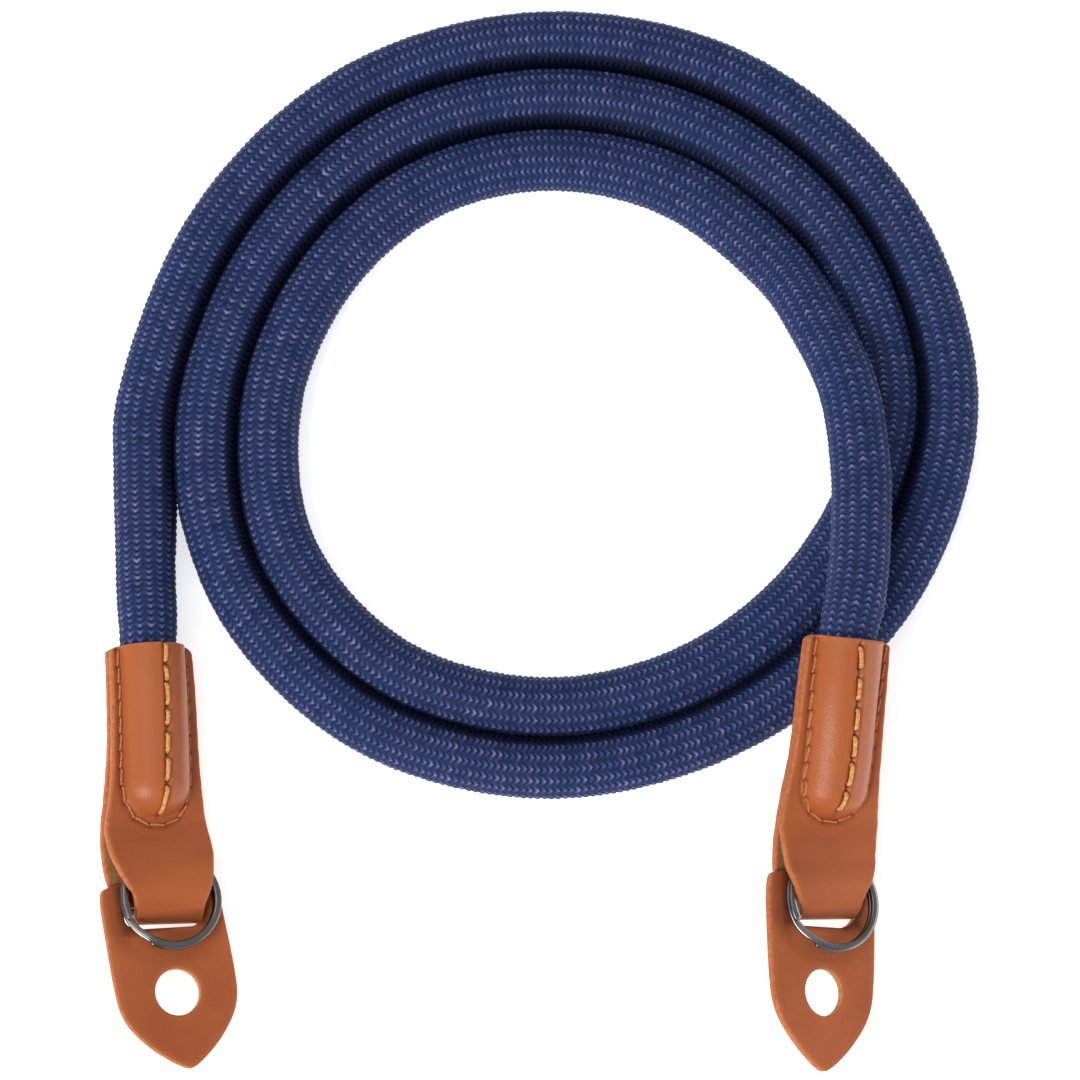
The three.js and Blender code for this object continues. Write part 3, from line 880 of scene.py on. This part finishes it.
def tab(side):
    # rows: fine over the pocket at the front, wider elsewhere, close at both ends
    ends = [0.0, 0.03, 0.1, 0.2, 0.34]
    front = np.arange(0.6, 31.5, 0.3)
    fold = np.arange(31.8, 50.5, 0.45)
    back = np.arange(51.1, STRIP_LONG - 0.7, 0.6)
    t = np.r_[ends, front, fold, back, [STRIP_LONG - e for e in ends[::-1]]]
    al, off, wide, n_al, n_off = strip_at(t)
    more = np.clip((al - 34.0) / 9.6, 0, 1)
    al = al + (MOUTH[side] - 43.6) * more
    d_end = np.minimum(t, STRIP_LONG - t)
    r = EDGE_R
    thick = np.where(d_end < r, LEATHER / 2 - r + np.sqrt(np.maximum(r * r - (r - d_end) ** 2, 0)), LEATHER / 2)
    half = wide / 2 - 0.02 * np.sin(t * 1.7)
    m = 65
    w = np.linspace(-1, 1, m)
    arc = np.radians([60, 30, 0])
    rows_u, rows_o, rows_outer = [], [], []
    for i in range(len(t)):
        h, k = half[i], thick[i]
        rr = min(r, k)
        flat = w * (h - r)
        up_u = [h - r + r * math.cos(x) for x in arc]
        up_o = [k - rr + rr * math.sin(x) for x in arc]
        lo_u, lo_o = up_u[::-1], [-x for x in up_o[::-1]]
        rows_u.append(np.r_[flat, up_u, lo_u, flat[::-1], [-x for x in up_u], [-x for x in lo_u]])
        rows_o.append(np.r_[np.full(m, k), up_o, lo_o, np.full(m, -k), [-x for x in up_o], [-x for x in lo_o]])
    U, O = np.array(rows_u), np.array(rows_o)
    outer = O > 0
    # the fold hangs a little askew, and the corners at the mouth are rounded
    A = al[:, None] * np.ones_like(U)
    skew = FOLD_SKEW[side] * np.clip((7.0 - A) / 5.0, 0, 1)
    A = A - FOLD_DROP[side] * np.clip((9.5 - A) / 7.0, 0, 1)
    corner = np.clip((np.abs(U) - (half[:, None] - 1.5)) / 1.5, 0, 1) ** 2
    at_mouth = np.clip((A - 38.0) / 5.5, 0, 1) ** 2
    A = A - skew * U - corner * at_mouth * np.where(U > 0, *CORNER[side])
    lift = np.where(outer, bulge(U, A, True), bulge(U, A, False))
    side_front = (t < STRIP_LONG / 2)[:, None] & outer
    deep_f, dark_f = pressed(side, U, A, True)
    deep_b, dark_b = pressed(side, U, A, False)
    live = A > 12.0
    deep = np.where(side_front, deep_f, np.where(outer, deep_b, 0)) * live
    dark = np.where(side_front, dark_f, np.where(outer, dark_b, 0)) * live
    # painted shade on the underside of the fold
    under = np.clip((1.35 - (A + O * n_al[:, None])) / 1.3, 0, 1)
    dark = np.maximum(dark, 0.62 * under * outer)
    top = (O >= thick[:, None] - 1e-6) & outer
    out = O + lift - deep * top
    along = A + out * n_al[:, None]
    o2 = off[:, None] + out * n_off[:, None]
    c, up, sd, nm = tab_frame(side, along)
    cut_f, cut_b = (np.array(q, dtype=float) for q in TRIM[side])
    in_front = t < STRIP_LONG / 2
    cut = [
        np.where(in_front, np.interp(al, cut_f[:, 0], cut_f[:, k]), np.interp(al, cut_b[:, 0], cut_b[:, k]))
        for k in (1, 2)
    ]
    across = U / half[:, None]
    wide_u = U + np.where(across < 0, cut[0][:, None], cut[1][:, None]) * np.abs(across) ** 3
    V = c + sd * wide_u[..., None] + nm * o2[..., None]
    cols = U.shape[1]
    quads = grid_faces(len(t), cols)
    # which material: grain outside, suede inside, painted edge round the rim
    col = np.tile(np.arange(cols), len(t) - 1)
    is_grain = col < m - 1
    is_suede = (col >= m + 6) & (col < 2 * m + 5)
    mat = np.where(is_grain, 0, np.where(is_suede, 1, 2))
    row = np.repeat(np.arange(len(t) - 1), cols)
    mat = np.where((row < 4) | (row >= len(t) - 5), 2, mat)

    def cap(base, flip):
        q = []
        for j in range(m - 1):
            a, b2 = base + j, base + j + 1
            cc, dd = base + (m + 6) + (m - 1 - (j + 1)), base + (m + 6) + (m - 1 - j)
            q.append([a, b2, cc, dd] if not flip else [a, dd, cc, b2])
        right = [base + j for j in range(m - 1, m + 7)]
        left = [base + j for j in range(2 * m + 5, 2 * m + 12)] + [base]
        if not flip:
            return q, right, left
        return q, right[::-1], left[::-1]

    q1, r1, l1 = cap(0, False)
    q2, r2, l2 = cap((len(t) - 1) * cols, True)
    caps4 = np.array(q1 + q2)
    eight = np.array([r1, l1, r2, l2])
    mat = np.r_[mat, np.full(len(caps4) + 4, 2)]
    # painted highlight along the rims and the ends of the strip
    rim = np.minimum(half[:, None] - np.abs(U), d_end[:, None])
    painted_highlight = np.exp(-((np.maximum(rim, 0) / 0.5) ** 2)) * outer
    radius = pocket(POCKET_OUT, A)
    polish = np.clip((radius - 1.6) / 3.0, 0, 1) * np.clip((6.0 - np.abs(U)) / 0.9, 0, 1) * top
    return make(
        side + "_tab_leather",
        V.reshape(-1, 3),
        [quads[:, ::-1], caps4[:, ::-1], eight[:, ::-1]],
        mats=[GRAIN, SUEDE, EDGE],
        face_mat=mat,
        attrs={"polish": polish, "painted_highlight": painted_highlight, "press_and_shade": dark},
    )


# the strip's front half, for the stitches that lie on it
FRONT_T = np.linspace(0, 40, 800)
FRONT = strip_at(FRONT_T)
BACK_T = np.linspace(STRIP_LONG, STRIP_LONG - 34, 700)
BACK = strip_at(BACK_T)


def on_leather(side, u, a, lift, back=False):
    u, a, lift = (np.asarray(x, float) for x in (u, a, lift))
    tab_ = BACK if back else FRONT
    order = np.argsort(tab_[0])
    off, n_al, n_off = (np.interp(a, tab_[0][order], tab_[k][order]) for k in (1, 3, 4))
    out = LEATHER / 2 + bulge(u, a, True) + lift
    c, up, sd, nm = tab_frame(side, a + out * n_al)
    return c + sd * u[..., None] + nm * (off + out * n_off)[..., None]


def plied(points, radius, plies, ply, lay, sides=8, start=0.0):
    """Points and faces of a twisted thread along a line."""
    t, n, b = transport(points, np.array([0.31, 0.2, 0.93]))
    d = np.r_[0, np.cumsum(np.linalg.norm(np.diff(points, axis=0), axis=1))]
    a = np.linspace(0, 2 * math.pi, sides, endpoint=False)
    V, F = [], []
    base = 0
    for p in range(plies):
        th = start + 2 * math.pi * (d / lay + p / plies)
        off = (radius - ply) if plies > 1 else 0.0
        mid = points + (n * np.cos(th)[:, None] + b * np.sin(th)[:, None]) * off
        tt = unit(np.gradient(mid, axis=0))
        nn = unit(n - tt * np.sum(n * tt, axis=1, keepdims=True))
        bb = np.cross(tt, nn)
        ring = mid[:, None, :] + (nn[:, None, :] * np.cos(a)[None, :, None] + bb[:, None, :] * np.sin(a)[None, :, None]) * ply
        V.append(ring.reshape(-1, 3))
        F.append(grid_faces(len(points), sides, base=base))
        base += len(points) * sides
    return np.vstack(V), np.vstack(F), base


def join_threads(name, threads, mat, side):
    V, F, D = [], [], []
    base = 0
    for v, f, deep in threads:
        V.append(v)
        F.append(f + base)
        D.append(deep)
        base += len(v)
    o = make(name, np.vstack(V), np.vstack(F), mats=[mat], attrs={"deep": np.concatenate(D)})
    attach(o, "root")
    return o


def stitch(side, p, q, rise, sink, radius, plies, ply, lay, back=False, steps=26, bow=0.0, start=0.0, seam=False):
    s = np.linspace(0, 1, steps)
    u = p[0] + (q[0] - p[0]) * s + bow * np.sin(math.pi * s)
    a = p[1] + (q[1] - p[1]) * s
    edge = np.minimum(s, 1 - s) * math.hypot(q[0] - p[0], q[1] - p[1])
    u = u + (seam_at(side, a) if seam else 0.0)
    e = np.clip(edge / 0.55, 0, 1)
    lift = -sink + (rise + sink) * np.sin(e * math.pi / 2) ** 0.8
    pts = on_leather(side, u, a, lift, back)
    v, f, _ = plied(pts, radius, plies, ply, lay, start=start)
    # painted shade where the thread goes down into its hole
    deep = np.clip(1 - edge / 0.22, 0, 1)
    sides = 8
    deep = np.tile(np.repeat(deep, sides), plies)
    return v, f, deep


rng = np.random.default_rng(5)
for side in ("left", "right"):
    leather = tab(side)
    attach(leather, "root")
    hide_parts(side + "_tab")
    thick = []
    for k, (a0, a1) in enumerate(THICK[side]):
        lean = rng.normal(0, 0.1)
        thick.append(
            stitch(
                side,
                (-lean, a1),
                (lean, a0),
                0.16 + 0.06 * rng.random(),
                0.7,
                0.36,
                3,
                0.3,
                2.2,
                steps=34,
                bow=rng.normal(0, 0.08),
                start=rng.random() * 6,
                seam=True,
            )
        )
    join_threads(side + "_crest_seam", thick, GOLD, side)
    holes = THIN_LINE[side][1]
    thin = []
    for back in (False, True):
        for p, q in zip(holes[:-1], holes[1:]):
            # saddle stitches lie a little aslant of their line
            along_line = (q - p) / np.linalg.norm(q - p)
            slant = 0.13 * np.array([-along_line[1], along_line[0]])
            p, q = p + slant, q - slant
            thin.append(
                stitch(side, p, q, 0.05, 0.6, 0.22, 2, 0.13, 1.1, back=back, steps=18, bow=rng.normal(0, 0.03), start=rng.random() * 6)
            )
    join_threads(side + "_edge_stitches", thin, THIN, side)

# ---- pads -----------------------------------------------------------------------------
PAD_T, SLIT_W, SLIT_H = 1.5, 12.8, 3.9
BAR = 1.15


def pad_outline(side):
    pts = [(h, PAD_TOP[side] - d * PAD_LONG[side]) for d, h in PAD_EDGE]
    pts = pts + [(-x, y) for x, y in reversed(pts)]
    # a smooth closed line through them, square only at the top corners
    p = np.array(pts)
    n = len(p)
    fine = []
    for i in range(n):
        p0, p1, p2, p3 = p[i - 1], p[i], p[(i + 1) % n], p[(i + 2) % n]
        t = np.linspace(0, 1, max(2, int(np.linalg.norm(p2 - p1) / 0.45)), endpoint=False)[:, None]
        d0, d1, d2 = (max(1e-6, math.sqrt(np.linalg.norm(b - a))) for a, b in ((p0, p1), (p1, p2), (p2, p3)))
        t1 = ((p1 - p0) / d0 - (p2 - p0) / (d0 + d1) + (p2 - p1) / d1) * d1
        t2 = ((p2 - p1) / d1 - (p3 - p1) / (d1 + d2) + (p3 - p2) / d2) * d1
        fine.append(p1 + t1 * t + (-3 * p1 + 3 * p2 - 2 * t1 - t2) * t**2 + (2 * p1 - 2 * p2 + t1 + t2) * t**3)
    return np.vstack(fine)  # clockwise seen from above


def arc_points(cx, cy, r, a0, a1, n):
    a = np.radians(np.linspace(a0, a1, n))
    return np.stack([cx + r * np.cos(a), cy + r * np.sin(a)], axis=1)


def slit_outline(side):
    x, y, hi = SLIT_W / 2, BAR - 2.3, 0.6
    lo = 2.2 if side == "left" else 3.2
    corners = [
        arc_points(x - lo, y - SLIT_H + lo, lo, -90, 0, 9),
        arc_points(x - hi, y - hi, hi, 0, 90, 6),
        arc_points(-x + hi, y - hi, hi, 90, 180, 6),
        arc_points(-x + lo, y - SLIT_H + lo, lo, 180, 270, 9),
    ]
    loop = np.vstack(corners)
    if side == "left":  # its lower edge is cut askew
        low_half = np.clip((y - SLIT_H / 2 - loop[:, 1]) / (SLIT_H / 2), 0, 1)
        loop[:, 1] -= 0.095 * loop[:, 0] * low_half
    out = []
    for a, b in zip(loop, np.roll(loop, -1, axis=0)):
        n = max(1, int(np.linalg.norm(b - a) / 0.5))
        out.append(a + (b - a) * np.linspace(0, 1, n, endpoint=False)[:, None])
    return np.vstack(out)


def inward(loop, d, solid_inside):
    """Moves a loop into the leather by d."""
    t = unit(np.roll(loop, -1, axis=0) - np.roll(loop, 1, axis=0))
    n = np.stack([-t[:, 1], t[:, 0]], axis=1)
    area = 0.5 * np.sum(loop[:, 0] * np.roll(loop[:, 1], -1) - np.roll(loop[:, 0], -1) * loop[:, 1])
    if area < 0:
        n = -n  # n now points to the inside of the loop
    return loop + n * (d if solid_inside else -d)


def inside(poly, pts):
    x, y = pts[:, 0], pts[:, 1]
    hit = np.zeros(len(pts), bool)
    for (x0, y0), (x1, y1) in zip(poly, np.roll(poly, -1, axis=0)):
        cross = (y0 > y) != (y1 > y)
        with np.errstate(divide="ignore", invalid="ignore"):
            xi = x0 + (y - y0) * (x1 - x0) / (y1 - y0 if y1 != y0 else 1e-12)
        hit ^= cross & (x < xi)
    return hit


def pad(side):
    loops = [(pad_outline(side), True), (slit_outline(side), False), (arc_points(0, BAR - 16.6, 3.7, 0, 360 * 47 / 48, 48), False)]
    r = 0.38
    theta = np.radians([90, 60, 30, 0])
    levels = [(r * (1 - math.cos(x)), PAD_T / 2 - r + r * math.sin(x)) for x in theta]
    levels += [(i, -z) for i, z in reversed(levels)]
    V, quads, mats = [], [], []
    base = 0
    top_loops, bottom_loops = [], []
    for li, (loop, solid) in enumerate(loops):
        n = len(loop)
        wobble = 0.0 if li == 0 else 1.0
        rings_ = []
        for j, (ins, z) in enumerate(levels):
            lp = inward(loop, ins, solid)
            rings_.append(np.column_stack([lp, np.full(n, z)]))
        V += rings_
        f = grid_faces(len(levels), n, base=base)
        area = 0.5 * np.sum(loop[:, 0] * np.roll(loop[:, 1], -1) - np.roll(loop[:, 0], -1) * loop[:, 1])
        if (area > 0) == solid:
            f = f[:, ::-1]
        quads.append(f[:, ::-1])
        row = np.repeat(np.arange(len(levels) - 1), n)
        if li == 0:
            mats.append(np.where((row >= 1) & (row <= 5), 1, 0))
        else:
            mats.append(np.where((row >= 2) & (row <= 4), 2, 0))
        top_loops.append((base, n))
        bottom_loops.append((base + (len(levels) - 1) * n, n))
        base += len(levels) * n
    # faces: the loops' inner lines with a grid of points between them
    inner = [np.asarray(inward(l, r, s_)) for l, s_ in loops]
    gx, gy = np.meshgrid(np.arange(-10, 10.01, 0.72), np.arange(PAD_TOP[side] - PAD_LONG[side], PAD_TOP[side], 0.72))
    g = np.column_stack([gx.ravel(), gy.ravel()])
    keep = inside(inward(loops[0][0], r + 0.4, True), g)
    for l, s_ in loops[1:]:
        keep &= ~inside(inward(l, r + 0.4, False), g)
    g = g[keep]
    pts, edges, index = [], [], []
    for (b0, n), lp in zip(top_loops, inner):
        k0 = len(pts)
        pts += [Vector((float(x), float(y))) for x, y in lp]
        edges += [(k0 + i, k0 + (i + 1) % n) for i in range(n)]
        index += [("loop", i) for i in range(n)]
    n_loop = len(pts)
    pts += [Vector((float(x), float(y))) for x, y in g]
    vv, ee, ff, ov, _, _ = delaunay_2d_cdt(pts, edges, [], 0, 1e-6)
    src = np.array([o[0] if o else -1 for o in ov])
    vv = np.array([[v.x, v.y] for v in vv])
    tri = np.array([list(f) for f in ff if len(f) == 3])
    mid = vv[tri].mean(axis=1)
    ok = inside(inner[0], mid)
    for lp in inner[1:]:
        ok &= ~inside(lp, mid)
    tri = src[tri[ok]]
    tri = tri[(tri >= 0).all(axis=1)]
    # index of a flat point in the whole mesh
    top_id, bot_id = [], []
    for (b0, n), (b1, _) in zip(top_loops, bottom_loops):
        top_id += list(range(b0, b0 + n))
        bot_id += list(range(b1, b1 + n))
    V = np.vstack(V)
    top_id += list(range(len(V), len(V) + len(g)))
    bot_id += list(range(len(V) + len(g), len(V) + 2 * len(g)))
    V = np.vstack([V, np.column_stack([g, np.full(len(g), PAD_T / 2)]), np.column_stack([g, np.full(len(g), -PAD_T / 2)])])
    top_id, bot_id = np.array(top_id), np.array(bot_id)
    p = V[top_id[tri]]
    cr = np.cross(p[:, 1] - p[:, 0], p[:, 2] - p[:, 0])[:, 2]
    tri = np.where((cr < 0)[:, None], tri[:, ::-1], tri)
    t_top, t_bot = top_id[tri], bot_id[tri][:, ::-1]
    face_mat = np.r_[np.concatenate(mats), np.zeros(len(t_top), int), np.full(len(t_bot), 3)]
    # painted highlight along the rims, before the pad is bent
    rim = np.full(len(V), 9.0)
    for lp, _s in loops:
        for p0, p1 in zip(lp, np.roll(lp, -1, axis=0)):
            e = p1 - p0
            f = np.clip(((V[:, :2] - p0) @ e) / max(e @ e, 1e-9), 0, 1)
            rim = np.minimum(rim, np.linalg.norm(V[:, :2] - p0 - f[:, None] * e, axis=1))
    painted_highlight = 0.8 * np.exp(-((np.maximum(rim - 0.2, 0) / 0.3) ** 2)) * (V[:, 2] > -0.3)
    # painted shadow where the strip and the ring bear on the leather
    bar = np.clip((V[:, 1] + 5.6) / 0.5, 0, 1) * np.clip((7.6 - np.abs(V[:, 0])) / 1.2, 0, 1)
    beside = np.exp(-(((np.abs(V[:, 0]) - 7.2) / 1.5) ** 2)) * np.clip((V[:, 1] + 8.5) / 4.0, 0, 1)
    below = np.exp(-(((np.hypot(V[:, 0], V[:, 1] + 2.0) - 8.6) / 1.1) ** 2)) * (V[:, 1] < -2.0)
    press_and_shade = np.clip(0.95 * bar + 0.34 * beside + 0.16 * below, 0, 1)
    # a slight twist towards the tip
    down = np.clip((-1.0 - V[:, 1]) / 27.0, 0, 1.1)
    tw = np.radians(PAD_TWIST[side]) * down
    x, z = V[:, 0] * np.cos(tw) + V[:, 2] * np.sin(tw), -V[:, 0] * np.sin(tw) + V[:, 2] * np.cos(tw)
    V = np.column_stack([x, V[:, 1], z])
    origin, basis = held(side, "pad")
    V = V @ basis.T + origin
    zero = np.zeros(len(V))
    o = make(
        side + "_pad_leather",
        V,
        [np.vstack(quads), np.vstack([t_top, t_bot])],
        mats=[PAD_GRAIN, EDGE, PUNCHED, SUEDE],
        face_mat=face_mat,
        attrs={"polish": zero, "painted_highlight": painted_highlight, "press_and_shade": press_and_shade},
    )
    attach(o, "root")
    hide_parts(side + "_pad")
    return o


PAD_GRAIN = leather_material("leather_tan_pad", tone(172, 90, 50), tone(185, 99, 57), tone(194, 107, 63), rough=0.62, spec=0.22, coat=0.0)
for side in ("left", "right"):
    pad(side)

# ---- split rings ----------------------------------------------------------------------


def ring(side):
    r = (16.5 - 1.25) / 2
    deg = np.linspace(243, 927, 330)
    tt = np.clip((deg - 568) / 35, 0, 1)
    h = 0.9 * (tt * tt * (3 - 2 * tt) - 0.5)
    w, t = 1.25 / 2, 0.8 / 2
    a = np.radians(np.arange(10, 370, 20))
    sec = np.stack(
        [w * np.sign(np.cos(a)) * np.abs(np.cos(a)) ** 0.78, t * np.sign(np.sin(a)) * np.abs(np.sin(a)) ** 0.78], axis=1
    )
    a = np.radians(deg)
    out = np.stack([np.cos(a), np.sin(a), np.zeros_like(a)], axis=1)
    # the ends of the wire are rounded off
    end = np.minimum(deg - 243, 927 - deg) * math.pi / 180 * r
    k = np.clip(end / 0.35, 0, 1)
    k = 0.55 + 0.45 * np.sqrt(1 - (1 - k) ** 2)
    V = out[:, None, :] * (r + sec[None, :, 0] * k[:, None])[:, :, None]
    V[:, :, 2] = h[:, None] + sec[None, :, 1] * k[:, None]
    n = len(sec)
    origin, basis = held(side, "ring")
    P = V.reshape(-1, 3) @ basis.T + origin
    f = grid_faces(len(deg), n)
    lastv = (len(deg) - 1) * n
    capsv = np.array([list(range(n)), [lastv + n - 1 - i for i in range(n)]])
    # painted highlight: a glint on the step, lighter ends and a lighter middle of the wire for the shading of its round
    # section
    painted_highlight = np.zeros((len(deg), n))
    step = np.exp(-(((deg - 585) / 14) ** 2)) + 0.3 * np.exp(-((end / 0.5) ** 2))
    painted_highlight += step[:, None]
    painted_highlight += 0.5 * np.clip(1.1 - np.abs(sec[None, :, 0]) / w, 0, 1) ** 0.7
    o = make(side + "_split_ring", P, [f[:, ::-1], capsv[:, ::-1]], mats=[STEEL], attrs={"painted_highlight": np.clip(painted_highlight, 0, 1)})
    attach(o, "root")
    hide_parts(side + "_ring")
    return o


for side in ("left", "right"):
    ring(side)

# ---- floor and light ------------------------------------------------------------------
floor_mat = Nodes("floor_white")
floor_mat.set(
    Base_Color=(0.93, 0.93, 0.93, 1.0),
    Roughness=0.9,
    Specular_IOR_Level=0.05,
    Emission_Color=(1.0, 1.0, 1.0, 1.0),
    Emission_Strength=0.65,
)
mesh = bpy.data.meshes.new("floor")
F = 4.0
mesh.from_pydata([(-F, -F, 0), (F, -F, 0), (F, F, 0), (-F, F, 0)], [], [(0, 1, 2, 3)])
mesh.materials.append(floor_mat.mat)
floor = bpy.data.objects.new("floor", mesh)
bpy.context.scene.collection.objects.link(floor)

world = bpy.data.worlds.new("studio")
world.use_nodes = True
world.node_tree.nodes["Background"].inputs[0].default_value = (1.0, 1.0, 1.0, 1.0)
world.node_tree.nodes["Background"].inputs[1].default_value = 0.38
bpy.context.scene.world = world


def softbox(name, at, towards, size, power, colour=(1, 1, 1)):
    data = bpy.data.lights.new(name, "AREA")
    data.shape = "RECTANGLE"
    data.size, data.size_y = size
    data.energy = power
    data.color = colour
    o = bpy.data.objects.new(name, data)
    o.location = at
    o.rotation_euler = (Vector(towards) - Vector(at)).to_track_quat("-Z", "Y").to_euler()
    bpy.context.scene.collection.objects.link(o)
    return o


softbox("key", (-0.62, -0.6, 0.85), (0.0, 0.05, 0.0), (0.7, 0.6), 9.0)
softbox("top", (-0.25, 0.45, 1.3), (0.0, 0.05, 0.0), (1.0, 1.0), 3.2)
softbox("side", (0.9, -0.02, 0.14), (0.02, -0.01, 0.01), (0.9, 0.16), 1.3, (1.0, 0.97, 0.97))
